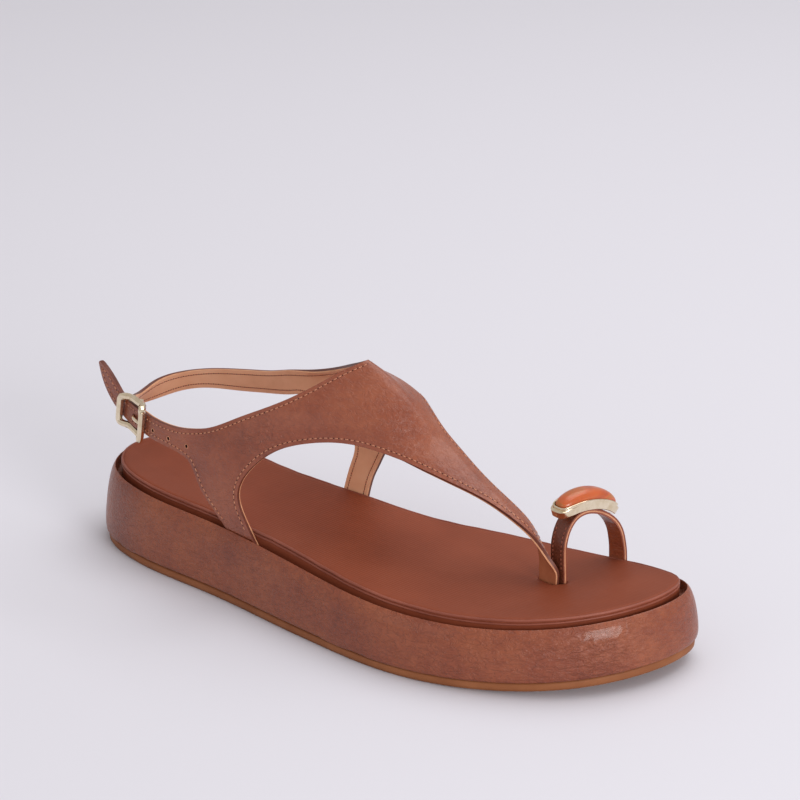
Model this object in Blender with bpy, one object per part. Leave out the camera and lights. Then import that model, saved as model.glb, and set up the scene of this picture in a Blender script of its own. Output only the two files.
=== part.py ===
# Flatform toe-ring sandal, right foot.
# Metres, +Z up, toe towards +X, inner (medial) side towards +Y.

import math

import bmesh
import bpy
import numpy as np
from mathutils import Matrix, Vector

# Sole sizes
SOLE_LENGTH = 0.255
BALL_HALF_WIDTH = 0.045
HEEL_HEIGHT = 0.0305
BALL_HEIGHT = 0.0238
TOE_SPRING = 0.0055
SPRING_START = 0.68
OUTSOLE_THICKNESS = 0.0036
OUTSOLE_INSET = 0.0010
RIM_INSET = 0.0049
GROOVE_WIDTH = 0.0026
GROOVE_DEPTH = 0.0045
FOOTBED_RISE = 0.0030
ARCH_RISE = 0.0022
HEEL_CUP = 0.0024
BEAD = 0.0009
# Height of the cut that makes a slot in the footbed, more than the footbed is thick
SLOT_REACH = 0.05
GAP = 0.0003
# The frame's origin lies on the floor under the heel, this far in front of the heel's end
HEEL_ORIGIN = 0.035

# Upper sizes
WALL = 0.0018
INSTEP = 0.068
STRAP_WIDTH = 0.0096

# Toe ring and ornament
RING_WIDTH = 0.0066
RING_THICKNESS = 0.0020
# Thickness of the ring's inner end, where it stands in the groove, as a share
RING_FOOT = 0.90
RING_HEIGHT = 0.0248
BEZEL_LENGTH = 0.0293
BEZEL_WIDTH = 0.0098
BEZEL_HEIGHT = 0.0039
BEZEL_WALL = 0.0006
# How far the tray's foot stands out at each end, and its height as a share of the tray's
BEZEL_TOE = 0.0011
BEZEL_TOE_HEIGHT = 0.72
# Radius that the tray is bent to, its tilt in degrees, and its place along the ring's span
BEZEL_BEND = 0.0270
BEZEL_TILT = 12
BEZEL_SHIFT = 0.415
# Squareness of the tray's plan: 1 is an ellipse, less is boxier
BEZEL_SQUARE = 0.55
# Height of the tray's floor under the stone, as a share of the tray's
BEZEL_FLOOR = 0.5
DOME_HEIGHT = 0.0031
# Fullness of the dome's flanks: 1 is an ellipse, less is fuller
DOME_FULLNESS = 0.75
DOME_STEPS = 7
RIM_SIDES = 44
RING_STEPS = 44

# Buckle
BUCKLE_LENGTH = 0.0180
BUCKLE_FRONT = 0.0165
BUCKLE_BACK = 0.0144
BUCKLE_BAR = 0.0025
# Squareness of the frame: 1 is an ellipse, less is boxier
BUCKLE_SQUARE = 0.28
# Corners of a bar's section as shares of its half width
BAR_SECTION = ((1, 0.45), (0.45, 1), (-0.45, 1), (-1, 0.45), (-1, -0.45), (-0.45, -1), (0.45, -1), (1, -0.45))
PIN_DIAMETER = 0.0018
PRONG_DIAMETER = 0.0015
HEM_WALL = 0.0009

# Outline: angle round the sole from heel to toe, and its fullness on each side
# as a share of the ball half width. Station = (1 - cos angle) / 2 of the length.
OUTLINE = (
    # angle, lateral, medial
    (0, 1.396, 1.396),
    (22, 1.287, 1.285),
    (45, 1.065, 0.951),
    (68, 0.910, 0.576),
    (90, 1.031, 0.533),
    (110, 1.259, 0.794),
    (130, 1.433, 0.978),
    (153, 1.608, 1.205),
    (180, 1.631, 1.631),
)
# How far the middle of the heel and of the toe lean to the medial side, as shares of the half width
HEEL_LEAN = 0.065
TOE_LEAN = 0.456

# Height of the platform's rim: 0 is the ball height, 1 is the heel height
RIM_LINE = (
    # station, height
    (0.00, 1.00),
    (0.15, 0.78),
    (0.30, 0.66),
    (0.45, 0.43),
    (0.60, 0.03),
    (0.80, -0.06),
    (1.00, 0.69),
)

# Side of the platform from the outsole up over its rolled rim: inset as a share of the rim
# inset, level as a share of the way from the outsole to the rim's top
SIDE_PROFILE = (
    # inset, level
    (0.08, 0.00),
    (0.00, 0.09),
    (0.10, 0.36),
    (0.28, 0.62),
    (0.46, 0.79),
    (0.66, 0.915),
    (0.84, 0.98),
    (0.95, 1.00),
    (1.00, 0.975),
)

# Footbed heights across, from the lateral edge to the medial edge: how much of the
# heel cup's depth each line takes
CUP_LINE = ((0.0, 0.0), (0.12, 0.35), (0.3, 0.85), (0.5, 1.0), (0.7, 0.85), (0.88, 0.35), (1.0, 0.0))

# The bridge is the band that rises from the lateral foot, crosses the instep and comes down
# to the medial foot. Each row goes from its rear edge to its front edge. Station is a share
# of the sole length, side a share of the ball half width, level a share of the instep
# height above the platform, crown how far the row bulges outwards as a share of its span.
BRIDGE = (
    # rear: station, side, level; front: station, side, level; crown
    ((0.309, -0.704, 0.080), (0.372, -0.732, 0.080), 0.01),
    ((0.282, -0.712, 0.190), (0.355, -0.724, 0.200), 0.02),
    ((0.264, -0.702, 0.316), (0.359, -0.712, 0.310), 0.02),
    ((0.263, -0.692, 0.404), (0.375, -0.675, 0.404), 0.03),
    ((0.275, -0.674, 0.493), (0.396, -0.615, 0.485), 0.04),
    ((0.294, -0.648, 0.560), (0.427, -0.535, 0.550), 0.05),
    ((0.337, -0.590, 0.647), (0.471, -0.433, 0.593), 0.05),
    ((0.384, -0.492, 0.735), (0.518, -0.344, 0.606), 0.05),
    ((0.427, -0.346, 0.830), (0.565, -0.267, 0.580), 0.05),
    ((0.459, -0.178, 0.919), (0.602, -0.204, 0.546), 0.06),
    ((0.478, -0.070, 0.967), (0.604, -0.080, 0.618), 0.08),
    ((0.494, 0.040, 1.000), (0.599, 0.055, 0.690), 0.08),
    ((0.470, 0.125, 0.950), (0.583, 0.190, 0.742), 0.08),
    ((0.439, 0.215, 0.894), (0.556, 0.325, 0.782), 0.09),
    ((0.396, 0.378, 0.810), (0.541, 0.395, 0.722), 0.07),
    ((0.341, 0.511, 0.718), (0.526, 0.440, 0.652), 0.05),
    ((0.291, 0.585, 0.655), (0.510, 0.470, 0.583), 0.05),
    ((0.289, 0.600, 0.580), (0.494, 0.490, 0.510), 0.04),
    ((0.299, 0.600, 0.510), (0.482, 0.500, 0.445), 0.03),
    ((0.348, 0.589, 0.462), (0.471, 0.498, 0.385), 0.02),
    ((0.387, 0.556, 0.400), (0.461, 0.490, 0.320), 0.02),
    ((0.406, 0.505, 0.300), (0.451, 0.474, 0.230), 0.02),
    ((0.400, 0.465, 0.190), (0.442, 0.452, 0.140), 0.02),
)
# Rear and front stations of the two feet that go down into the groove
LATERAL_FOOT = (0.347, 0.402)
MEDIAL_FOOT = (0.386, 0.431)
BRIDGE_COLUMNS = 4
# Rows of the bridge, counted with the feet, where the straps and the tail are rooted
LATERAL_ROOT = (3, 6)
TAIL_ROOT = (10, 14)
MEDIAL_ROOT = (17, 19)

# The tail runs from the bridge down between the toes. Each row goes from its lateral to
# its medial edge; crown is how far it bulges, as a share of its width.
TAIL = (
    # lateral: station, side, level; medial: station, side, level; crown
    ((0.634, -0.154, 0.510), (0.592, 0.285, 0.662), 0.10),
    ((0.672, -0.088, 0.462), (0.633, 0.248, 0.568), 0.10),
    ((0.715, -0.002, 0.397), (0.681, 0.235, 0.445), 0.10),
    ((0.760, 0.051, 0.309), (0.737, 0.235, 0.330), 0.08),
    ((0.789, 0.093, 0.228), (0.768, 0.232, 0.235), 0.05),
    ((0.808, 0.127, 0.132), (0.782, 0.220, 0.132), 0.02),
)
# Front and rear of the tail's end along the ring's leg, from the leg's middle
TAIL_END = (0.0017, -0.0070)
TAIL_FOOT_LEVEL = 0.06

# Straps: the path of the strap's middle, its width as a share of the strap width, and how
# far its top edge leans in over the foot, in degrees
LATERAL_STRAP = (
    # station, side, level, width, lean
    (0.247, -0.684, 0.435, 1.15, 2),
    (0.218, -0.678, 0.441, 0.92, 2),
    (0.187, -0.667, 0.449, 0.88, 2),
    (0.161, -0.625, 0.455, 0.88, 2),
    (0.145, -0.600, 0.459, 0.88, 2),
    (0.131, -0.582, 0.465, 0.88, 2),
    (0.100, -0.530, 0.492, 0.83, 2),
    (0.080, -0.500, 0.535, 0.84, 0),
    (0.064, -0.489, 0.605, 0.78, -4),
    (0.050, -0.470, 0.660, 0.50, -8),
    (0.042, -0.460, 0.692, 0.12, -10),
)
HEEL_STRAP = (
    # station, side, level, width, lean
    (0.265, 0.607, 0.556, 1.02, 4),
    (0.229, 0.633, 0.518, 0.95, 2),
    (0.194, 0.644, 0.491, 0.92, 0),
    (0.151, 0.629, 0.466, 0.90, 0),
    (0.112, 0.578, 0.452, 0.82, 0),
    (0.080, 0.482, 0.438, 0.78, 2),
    (0.058, 0.344, 0.421, 0.84, 8),
    (0.047, 0.178, 0.406, 0.95, 20),
    (0.048, 0.000, 0.406, 0.95, 34),
    (0.060, -0.167, 0.420, 0.95, 38),
    (0.080, -0.311, 0.441, 0.95, 26),
    (0.098, -0.420, 0.462, 0.95, 10),
    (0.114, -0.490, 0.474, 0.86, 2),
)

# The toe ring's leather, seen square on: how far across from the post to the medial groove,
# and how high as a share of the ring's height above the footbed
RING_LINE = (
    # across, height
    (0.000, -0.14),
    (0.000, 0.10),
    (-0.012, 0.38),
    (-0.008, 0.62),
    (0.060, 0.84),
    (0.190, 0.98),
    (0.380, 1.00),
    (0.610, 0.90),
    (0.810, 0.72),
    (0.930, 0.50),
    (0.985, 0.24),
    (1.000, 0.05),
    (1.000, -0.13),
)
# Stations and sides of the two ends of the toe ring
RING_POST = (0.812, 0.212)
RING_STATION_MEDIAL = 0.834


def spline(table, column, at):
    """Smooth value of one column of a table at the given place in its first column."""
    xs = [row[0] for row in table]
    ys = [row[column] for row in table]
    at = min(max(at, xs[0]), xs[-1])
    i = max(k for k in range(len(xs) - 1) if xs[k] <= at)
    slopes = []
    for k in (i, i + 1):
        low, high = max(k - 1, 0), min(k + 1, len(xs) - 1)
        slopes.append((ys[high] - ys[low]) / (xs[high] - xs[low]))
    span = xs[i + 1] - xs[i]
    t = (at - xs[i]) / span
    return (
        (2 * t**3 - 3 * t**2 + 1) * ys[i]
        + (t**3 - 2 * t**2 + t) * span * slopes[0]
        + (-2 * t**3 + 3 * t**2) * ys[i + 1]
        + (t**3 - t**2) * span * slopes[1]
    )


def outline_point(angle, side):
    """Point of the sole's plan outline at an angle from heel to toe, on side -1 or +1."""
    station = (1 - math.cos(math.radians(angle))) / 2
    fullness = spline(OUTLINE, 1 if side < 0 else 2, angle)
    lean = TOE_LEAN * station**3 + HEEL_LEAN * (1 - station) ** 3
    y = BALL_HALF_WIDTH * (lean + side * math.sin(math.radians(angle)) * fullness)
    return Vector((SOLE_LENGTH * station, y))


def inset_point(angle, side, inset):
    """The outline point moved inwards by the inset, square to the outline."""
    step = 0.5
    if angle < step or angle > 180 - step:
        ends = outline_point(min(max(angle, step), 180 - step), -1), outline_point(
            min(max(angle, step), 180 - step), 1
        )
        along = (ends[1] - ends[0]) * (1 if angle > 90 else -1)
    else:
        along = (outline_point(angle + step, side) - outline_point(angle - step, side)) * -side
    inward = Vector((-along.y, along.x)).normalized()
    return outline_point(angle, side) + inward * inset


def outline_side(station, side, inset):
    """Sideways place of the inset outline at a station, as a share of the sole length."""
    angle = math.degrees(math.acos(1 - 2 * station))
    for _ in range(4):
        reached = inset_point(angle, side, inset).x / SOLE_LENGTH
        angle += math.degrees(station - reached) * 2 / max(math.sin(math.radians(angle)), 0.1)
    return inset_point(angle, side, inset).y


def ground_height(x):
    """Height of the outsole's underside: flat, then sprung up towards the toe."""
    rise = max(x / SOLE_LENGTH - SPRING_START, 0) / (1 - SPRING_START)
    return TOE_SPRING * rise**2


def rim_height(x):
    share = spline(RIM_LINE, 1, x / SOLE_LENGTH)
    return BALL_HEIGHT + (HEEL_HEIGHT - BALL_HEIGHT) * share


def deck_height(x):
    return rim_height(x) - GROOVE_DEPTH


def footbed_height(x, across):
    """Top of the footbed; across runs from 0 at its lateral edge to 1 at its medial edge."""
    station = x / SOLE_LENGTH
    edge = rim_height(x) + FOOTBED_RISE
    arch = ARCH_RISE * math.exp(-(((station - 0.42) / 0.17) ** 2)) * across**2
    cup = HEEL_CUP * math.exp(-(((station - 0.14) / 0.15) ** 2)) * spline(CUP_LINE, 1, across)
    ridge = 0.45 * BEAD * math.exp(-(((station - 0.90) / 0.02) ** 2)) * math.sin(math.pi * across)
    return edge + arch - cup + ridge


def new_object(name, mesh_builder, colour, roughness, metallic=0.0, smooth=40):
    """One named object with its own material, from a bmesh."""
    bm = mesh_builder if isinstance(mesh_builder, bmesh.types.BMesh) else mesh_builder()
    bmesh.ops.recalc_face_normals(bm, faces=bm.faces)
    mesh = bpy.data.meshes.new(name)
    bm.to_mesh(mesh)
    bm.free()
    mesh.transform(Matrix.Translation((-HEEL_ORIGIN, 0, 0)))
    mesh.shade_smooth()
    mesh.set_sharp_from_angle(angle=math.radians(smooth))
    obj = bpy.data.objects.new(name, mesh)
    bpy.context.scene.collection.objects.link(obj)
    material = bpy.data.materials.new(name)
    material.use_nodes = True
    shader = material.node_tree.nodes["Principled BSDF"]
    shader.inputs["Base Color"].default_value = (*colour, 1)
    shader.inputs["Roughness"].default_value = roughness
    shader.inputs["Metallic"].default_value = metallic
    mesh.materials.append(material)
    return obj


def as_helper(obj):
    """A shape that only cuts or joins: kept out of the render."""
    obj.hide_render = True
    obj.display_type = "WIRE"
    return obj


def boolean(obj, operation, other):
    modifier = obj.modifiers.new(operation.title(), "BOOLEAN")
    modifier.operation = operation
    modifier.solver = "EXACT"
    modifier.object = as_helper(other)
    return modifier


# Sole

SOLE_STEPS = 40


def sole_ring(bm, inset, height):
    """One closed ring of the sole's outline; height is a function of x."""
    ring = []
    angles = [180 * i / SOLE_STEPS for i in range(SOLE_STEPS + 1)]
    for angle in angles:
        ring.append(inset_point(angle, -1, inset))
    for angle in reversed(angles[1:-1]):
        ring.append(inset_point(angle, 1, inset))
    return [bm.verts.new((p.x, p.y, height(p.x))) for p in ring]


def join_rings(bm, lower, upper):
    count = len(lower)
    for i in range(count):
        j = (i + 1) % count
        bm.faces.new((lower[i], lower[j], upper[j], upper[i]))


def cap_ring(bm, ring, columns, height):
    """Fills a ring with rows that run from its lateral to its medial side."""
    rows = [[ring[0]] * (columns + 1)]
    for i in range(1, SOLE_STEPS):
        start, end = ring[i], ring[-i]
        row = [start]
        for k in range(1, columns):
            across = k / columns
            x = start.co.x + (end.co.x - start.co.x) * across
            y = start.co.y + (end.co.y - start.co.y) * across
            row.append(bm.verts.new((x, y, height(x, across))))
        rows.append(row + [end])
    rows.append([ring[SOLE_STEPS]] * (columns + 1))
    for low, high in zip(rows, rows[1:]):
        for k in range(columns):
            corners = (low[k], high[k], high[k + 1], low[k + 1])
            distinct = list(dict.fromkeys(corners))
            bm.faces.new(distinct)


def build_outsole():
    bm = bmesh.new()
    bead = OUTSOLE_THICKNESS * 0.2
    levels = ((2 * bead, 0.0), (bead, 0.1), (0.6 * bead, 0.8), (1.2 * bead, 1.0))
    rings = []
    for extra, share in levels:
        inset = OUTSOLE_INSET + extra - bead * 0.6
        rings.append(
            sole_ring(bm, inset, lambda x, s=share: ground_height(x) + OUTSOLE_THICKNESS * s)
        )
    for lower, upper in zip(rings, rings[1:]):
        join_rings(bm, lower, upper)
    cap_ring(bm, rings[0], 1, None)
    cap_ring(bm, rings[-1], 1, None)
    return new_object("outsole", bm, (0.26, 0.11, 0.055), 0.55)


def build_midsole():
    bm = bmesh.new()

    def base(x):
        return ground_height(x) + OUTSOLE_THICKNESS + GAP

    rings = [sole_ring(bm, OUTSOLE_INSET + RIM_INSET * 0.3, base)]
    for inset, level in SIDE_PROFILE:
        rings.append(
            sole_ring(
                bm,
                inset * RIM_INSET,
                lambda x, s=level: base(x) + (rim_height(x) - base(x)) * s,
            )
        )
    rings.append(sole_ring(bm, RIM_INSET, deck_height))
    for lower, upper in zip(rings, rings[1:]):
        join_rings(bm, lower, upper)
    cap_ring(bm, rings[0], 1, None)
    cap_ring(bm, rings[-1], 1, None)
    return new_object("midsole", bm, (0.23, 0.085, 0.05), 0.42)


def build_footbed():
    bm = bmesh.new()
    inset = RIM_INSET + GROOVE_WIDTH

    def base(x):
        return deck_height(x) + GAP

    def edge(x):
        return rim_height(x) + FOOTBED_RISE

    rings = [
        sole_ring(bm, inset, base),
        sole_ring(bm, inset, lambda x: edge(x) - 2.4 * BEAD),
        sole_ring(bm, inset + 0.35 * BEAD, lambda x: edge(x) - 2.0 * BEAD),
        sole_ring(bm, inset - 0.1 * BEAD, lambda x: edge(x) - 1.5 * BEAD),
        sole_ring(bm, inset, lambda x: edge(x) - 0.6 * BEAD),
        sole_ring(bm, inset + 0.5 * BEAD, lambda x: edge(x) - 0.12 * BEAD),
        sole_ring(bm, inset + 1.3 * BEAD, edge),
    ]
    # the medial edge rises with the arch
    for ring in rings[1:]:
        for i in range(SOLE_STEPS + 1, 2 * SOLE_STEPS):
            vert = ring[i]
            vert.co.z += footbed_height(vert.co.x, 1.0) - edge(vert.co.x)
    for lower, upper in zip(rings, rings[1:]):
        join_rings(bm, lower, upper)
    cap_ring(bm, rings[0], 1, None)
    cap_ring(bm, rings[-1], 10, footbed_height)
    return new_object("footbed", bm, (0.25, 0.085, 0.05), 0.6)


# Upper


def place(station, side, level):
    """A point given by shares of the sole length, the half width and the instep height."""
    platform = rim_height(SOLE_LENGTH * 0.40)
    return Vector((SOLE_LENGTH * station, BALL_HALF_WIDTH * side, platform + INSTEP * level))


def foot_row(stations, side, columns):
    """The end of a quarter, standing in the groove along the curve of the sole."""
    row = []
    inset = RIM_INSET + (GROOVE_WIDTH - WALL) / 2
    for k in range(columns + 1):
        station = stations[0] + (stations[1] - stations[0]) * k / columns
        x = SOLE_LENGTH * station
        row.append(Vector((x, outline_side(station, side, inset), deck_height(x) + GAP)))
    return row


def bridge_rows():
    """All rows of the bridge, lateral foot first, each from its rear to its front edge."""
    middle = place(0.40, 0.0, 0.25)
    rows = []
    for rear, front, crown in BRIDGE:
        start, end = place(*rear), place(*front)
        out = (start + end) / 2 - middle
        out.x = 0
        out.normalize()
        row = []
        for k in range(BRIDGE_COLUMNS + 1):
            t = k / BRIDGE_COLUMNS
            bulge = (end - start).length * crown * 4 * t * (1 - t)
            row.append(start.lerp(end, t) + out * bulge)
        rows.append(row)
    lateral = foot_row(LATERAL_FOOT, -1, BRIDGE_COLUMNS)
    medial = foot_row(MEDIAL_FOOT, 1, BRIDGE_COLUMNS)
    return [lateral] + rows + [medial]


def strap_rows(table, count):
    """Rows across a strap, each from its top edge to its lower edge."""
    middles = [place(*row[:3]) for row in table]
    rows = []
    for i, row in enumerate(table):
        before, after = middles[max(i - 1, 0)], middles[min(i + 1, len(table) - 1)]
        along = (after - before).normalized()
        outward = middles[i] - place(0.16, 0.0, 0.45)
        outward.z = 0
        flat = Vector((along.x, along.y, 0)).normalized()
        outward = (outward - flat * outward.dot(flat)).normalized()
        lean = math.radians(row[4])
        normal = outward * math.cos(lean) + Vector((0, 0, 1)) * math.sin(lean)
        up = along.cross(normal)
        if up.z < 0:
            up = -up
        up.normalize()
        half = up * STRAP_WIDTH * row[3] / 2
        rows.append(
            [middles[i] + half * (1 - 2 * k / count) for k in range(count + 1)]
        )
    return rows


def tail_end():
    """Front and rear corner of the tail's end, which lies flat against the ring's leg."""
    post, across, _ = ring_frame()
    forward = Vector((across.y, -across.x, 0))
    face = post - across * (RING_THICKNESS / 2 + 2 * GAP)
    return face + forward * TAIL_END[0], face + forward * TAIL_END[1], forward, -across


def tail_rows():
    """Rows across the tail, each from its lateral to its medial edge."""
    rows = []
    out = Vector((0.4, 0.0, 1.0)).normalized()
    for lateral, medial, crown in TAIL:
        start, end = place(*lateral), place(*medial)
        row = []
        for k in range(BRIDGE_COLUMNS + 1):
            t = k / BRIDGE_COLUMNS
            bulge = (end - start).length * crown * 4 * t * (1 - t)
            row.append(start.lerp(end, t) + out * bulge)
        rows.append(row)
    front, rear, forward, aside = tail_end()
    level = place(0.5, 0.0, TAIL_FOOT_LEVEL).z
    slot_top = footbed_height(front.x, 0.5)
    for z in (level, slot_top, deck_height(front.x) + 2 * GAP):
        row = []
        for k in range(BRIDGE_COLUMNS + 1):
            point = front.lerp(rear, k / BRIDGE_COLUMNS)
            row.append(Vector((point.x, point.y, z)))
        rows.append(row)
    return rows


def fill_grid(bm, rows):
    for low, high in zip(rows, rows[1:]):
        for k in range(len(low) - 1):
            bm.faces.new((low[k], low[k + 1], high[k + 1], high[k]))


def build_upper_surface():
    """The outer face of the straps as one sheet of quads."""
    bm = bmesh.new()
    bridge = [[bm.verts.new(p) for p in row] for row in bridge_rows()]
    fill_grid(bm, bridge)
    first, last = LATERAL_ROOT
    root = [bridge[i][0] for i in range(last, first - 1, -1)]
    rows = strap_rows(LATERAL_STRAP, last - first)
    fill_grid(bm, [root] + [[bm.verts.new(p) for p in row] for row in rows])
    first, last = MEDIAL_ROOT
    root = [bridge[i][0] for i in range(first, last + 1)]
    rows = strap_rows(HEEL_STRAP, last - first)
    fill_grid(bm, [root] + [[bm.verts.new(p) for p in row] for row in rows])
    first, last = TAIL_ROOT
    root = [bridge[i][-1] for i in range(first, last + 1)]
    fill_grid(bm, [root] + [[bm.verts.new(p) for p in row] for row in tail_rows()])
    return bm


def buckle_axes():
    """Middle of the buckle on the strap, and its directions along, up and outwards."""
    before, middle, after = (place(*LATERAL_STRAP[i][:3]) for i in (4, 5, 6))
    along = (after - before).normalized()
    outward = Vector((along.y, -along.x, 0)).normalized()
    if outward.y > 0:
        outward = -outward
    up = along.cross(outward)
    if up.z < 0:
        up = -up
    return middle, along, up.normalized(), outward


def rod(bm, start, end, diameter, segments=12):
    """A round bar between two points."""
    axis = end - start
    turn = axis.to_track_quat("Z", "Y").to_matrix().to_4x4()
    matrix = Matrix.Translation((start + end) / 2) @ turn
    bmesh.ops.create_cone(
        bm,
        cap_ends=True,
        segments=segments,
        radius1=diameter / 2,
        radius2=diameter / 2,
        depth=axis.length,
        matrix=matrix,
    )


def helper_rod(name, start, end, diameter, segments=12):
    bm = bmesh.new()
    rod(bm, start, end, diameter, segments)
    return new_object(name, bm, (0.5, 0.5, 0.5), 0.5)


def pin_depth():
    """How far the buckle's middle bar lies behind the strap's outer face."""
    return 0.9 * WALL + PIN_DIAMETER / 2 + GAP


def pin_middle():
    """Where the buckle's middle bar lies, inside the heel strap's hem."""
    middle, along, up, outward = buckle_axes()
    return middle - outward * pin_depth()


def draw_cage_out(obj):
    """Moves the points of the cage until the smoothed surface passes through their first places."""
    targets = [vert.co.copy() for vert in obj.data.vertices]
    for _ in range(5):
        graph = bpy.context.evaluated_depsgraph_get()
        graph.update()
        smoothed = obj.evaluated_get(graph).to_mesh()
        places = [smoothed.vertices[i].co.copy() for i in range(len(targets))]
        obj.evaluated_get(graph).to_mesh_clear()
        for vert, target, reached in zip(obj.data.vertices, targets, places):
            vert.co += target - reached
        obj.data.update()


def build_upper():
    obj = new_object("upper", build_upper_surface, (0.24, 0.085, 0.05), 0.45)
    obj.data.set_sharp_from_angle(angle=math.radians(60))
    smooth = obj.modifiers.new("Smooth", "SUBSURF")
    smooth.levels = 1
    smooth.render_levels = 1
    smooth.boundary_smooth = "PRESERVE_CORNERS"
    draw_cage_out(obj)
    wall = obj.modifiers.new("Wall", "SOLIDIFY")
    wall.thickness = WALL
    wall.offset = -1
    wall.use_even_offset = True
    middle, along, up, outward = buckle_axes()
    pin = pin_middle()
    half = up * STRAP_WIDTH * 0.44
    hem_diameter = PIN_DIAMETER + 2 * GAP + 2 * HEM_WALL
    boolean(obj, "UNION", helper_rod("hem", pin - half, pin + half, hem_diameter, 16))
    reach = up * STRAP_WIDTH
    bore = PIN_DIAMETER + 2 * GAP
    boolean(obj, "DIFFERENCE", helper_rod("hem_bore", pin - reach, pin + reach, bore))
    hole = helper_rod(
        "prong_hole",
        pin,
        middle + outward * 3 * WALL,
        PRONG_DIAMETER + 2 * GAP,
    )
    boolean(obj, "DIFFERENCE", hole)
    return obj


# Metal fittings


def sweep(bm, sections, closed):
    """Joins a run of sections, each a list of points, into a tube with or without ends."""
    rings = [[bm.verts.new(p) for p in section] for section in sections]
    pairs = list(zip(rings, rings[1:] + rings[:1])) if closed else list(zip(rings, rings[1:]))
    for low, high in pairs:
        join_rings(bm, low, high)
    if not closed:
        bm.faces.new(rings[0])
        bm.faces.new(rings[-1])


def buckle_loop(count):
    """Middle line of the frame: a loop that is taller towards the front and bowed inwards."""
    middle, along, up, outward = buckle_axes()
    front_out = GAP + BUCKLE_BAR / 2
    bow_depth = front_out + pin_depth()
    points = []
    for i in range(count):
        turn = 2 * math.pi * (i + 0.5) / count
        c, s = math.cos(turn), math.sin(turn)
        u = math.copysign(abs(c) ** BUCKLE_SQUARE, c)
        v = math.copysign(abs(s) ** BUCKLE_SQUARE, s)
        height = (BUCKLE_FRONT + (BUCKLE_BACK - BUCKLE_FRONT) * (u + 1) / 2 - BUCKLE_BAR) / 2
        bow = bow_depth * (1 - u * u) ** 2
        point = middle + along * u * (BUCKLE_LENGTH - BUCKLE_BAR) / 2 + up * v * height
        points.append(point + outward * (front_out - bow))
    return points, outward


def build_buckle():
    bm = bmesh.new()
    count = 40
    points, outward = buckle_loop(count)
    centre = sum(points, Vector()) / count
    sections = []
    for i, point in enumerate(points):
        along = (points[(i + 1) % count] - points[i - 1]).normalized()
        side = along.cross(outward).normalized()
        if side.dot(point - centre) < 0:
            side = -side
        deep = along.cross(side).normalized()
        section = []
        for a, b in BAR_SECTION:
            section.append(point + (side * a + deep * b) * BUCKLE_BAR / 2)
        sections.append(section)
    sweep(bm, sections, True)
    frame = new_object("buckle_frame", bm, (0.78, 0.68, 0.46), 0.18, 1.0, 50)
    middle, along, up, outward = buckle_axes()
    pin = pin_middle()
    half = up * ((BUCKLE_FRONT + BUCKLE_BACK) / 4 - BUCKLE_BAR / 2)
    boolean(frame, "UNION", helper_rod("pin", pin - half, pin + half, PIN_DIAMETER))
    return frame


def build_prong():
    """The pin of the buckle: out through the strap, then forward to the front bar."""
    bm = bmesh.new()
    middle, along, up, outward = buckle_axes()
    root = pin_middle() + outward * (PIN_DIAMETER / 2 + GAP)
    level = GAP + PRONG_DIAMETER / 2
    elbow = middle + outward * level
    reach = BUCKLE_LENGTH / 2 - BUCKLE_BAR - GAP
    radius = PRONG_DIAMETER * 0.9
    path = [root, elbow - outward * radius]
    path.append(elbow - outward * radius * 0.3 - along * radius * 0.3)
    path.append(elbow - along * radius)
    path.append(elbow - along * reach * 0.75)
    path.append(elbow - along * reach - outward * 0.2 * PRONG_DIAMETER)
    sections = []
    for i, point in enumerate(path):
        direction = (path[min(i + 1, len(path) - 1)] - path[max(i - 1, 0)]).normalized()
        side = direction.cross(up).normalized()
        taper = 0.72 if i == len(path) - 1 else 1.0
        section = []
        for k in range(10):
            turn = 2 * math.pi * k / 10
            section.append(
                point
                + (side * math.cos(turn) + up * math.sin(turn)) * PRONG_DIAMETER / 2 * taper
            )
        sections.append(section)
    sweep(bm, sections, False)
    return new_object("buckle_prong", bm, (0.78, 0.68, 0.46), 0.18, 1.0, 50)


# Toe ring and its stone


def ring_frame():
    """Start of the ring on the footbed, its direction across the toe and its span."""
    start = Vector((SOLE_LENGTH * RING_POST[0], BALL_HALF_WIDTH * RING_POST[1], 0))
    inset = RIM_INSET + GROOVE_WIDTH / 2
    end = Vector(
        (
            SOLE_LENGTH * RING_STATION_MEDIAL,
            outline_side(RING_STATION_MEDIAL, 1, inset),
            0,
        )
    )
    return start, (end - start).normalized(), (end - start).length


def groove_direction(station):
    """Direction of the medial groove at a station, towards the toe."""
    step = 0.01
    ends = []
    for at in (station - step, station + step):
        ends.append(Vector((SOLE_LENGTH * at, outline_side(at, 1, RIM_INSET), 0)))
    return (ends[1] - ends[0]).normalized()


def ring_level(x):
    return footbed_height(x, 0.5)


def ring_path(steps):
    """Middle line of the ring's leather as points through its table, with its outward normals."""
    start, across, span = ring_frame()
    base = start + Vector((0, 0, ring_level(start.x)))
    count = len(RING_LINE) - 1
    table = [(i, row[0], row[1]) for i, row in enumerate(RING_LINE)]

    def line(at):
        return across * span * spline(table, 1, at) + Vector((0, 0, RING_HEIGHT * spline(table, 2, at)))

    points, normals = [], []
    nearby = 0.05
    for i in range(steps + 1):
        at = count * i / steps
        points.append(base + line(at))
        step = line(at + nearby) - line(at - nearby)
        turned = across * -step.z + Vector((0, 0, 1)) * step.dot(across)
        normals.append(turned.normalized())
    return points, normals, across


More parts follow.
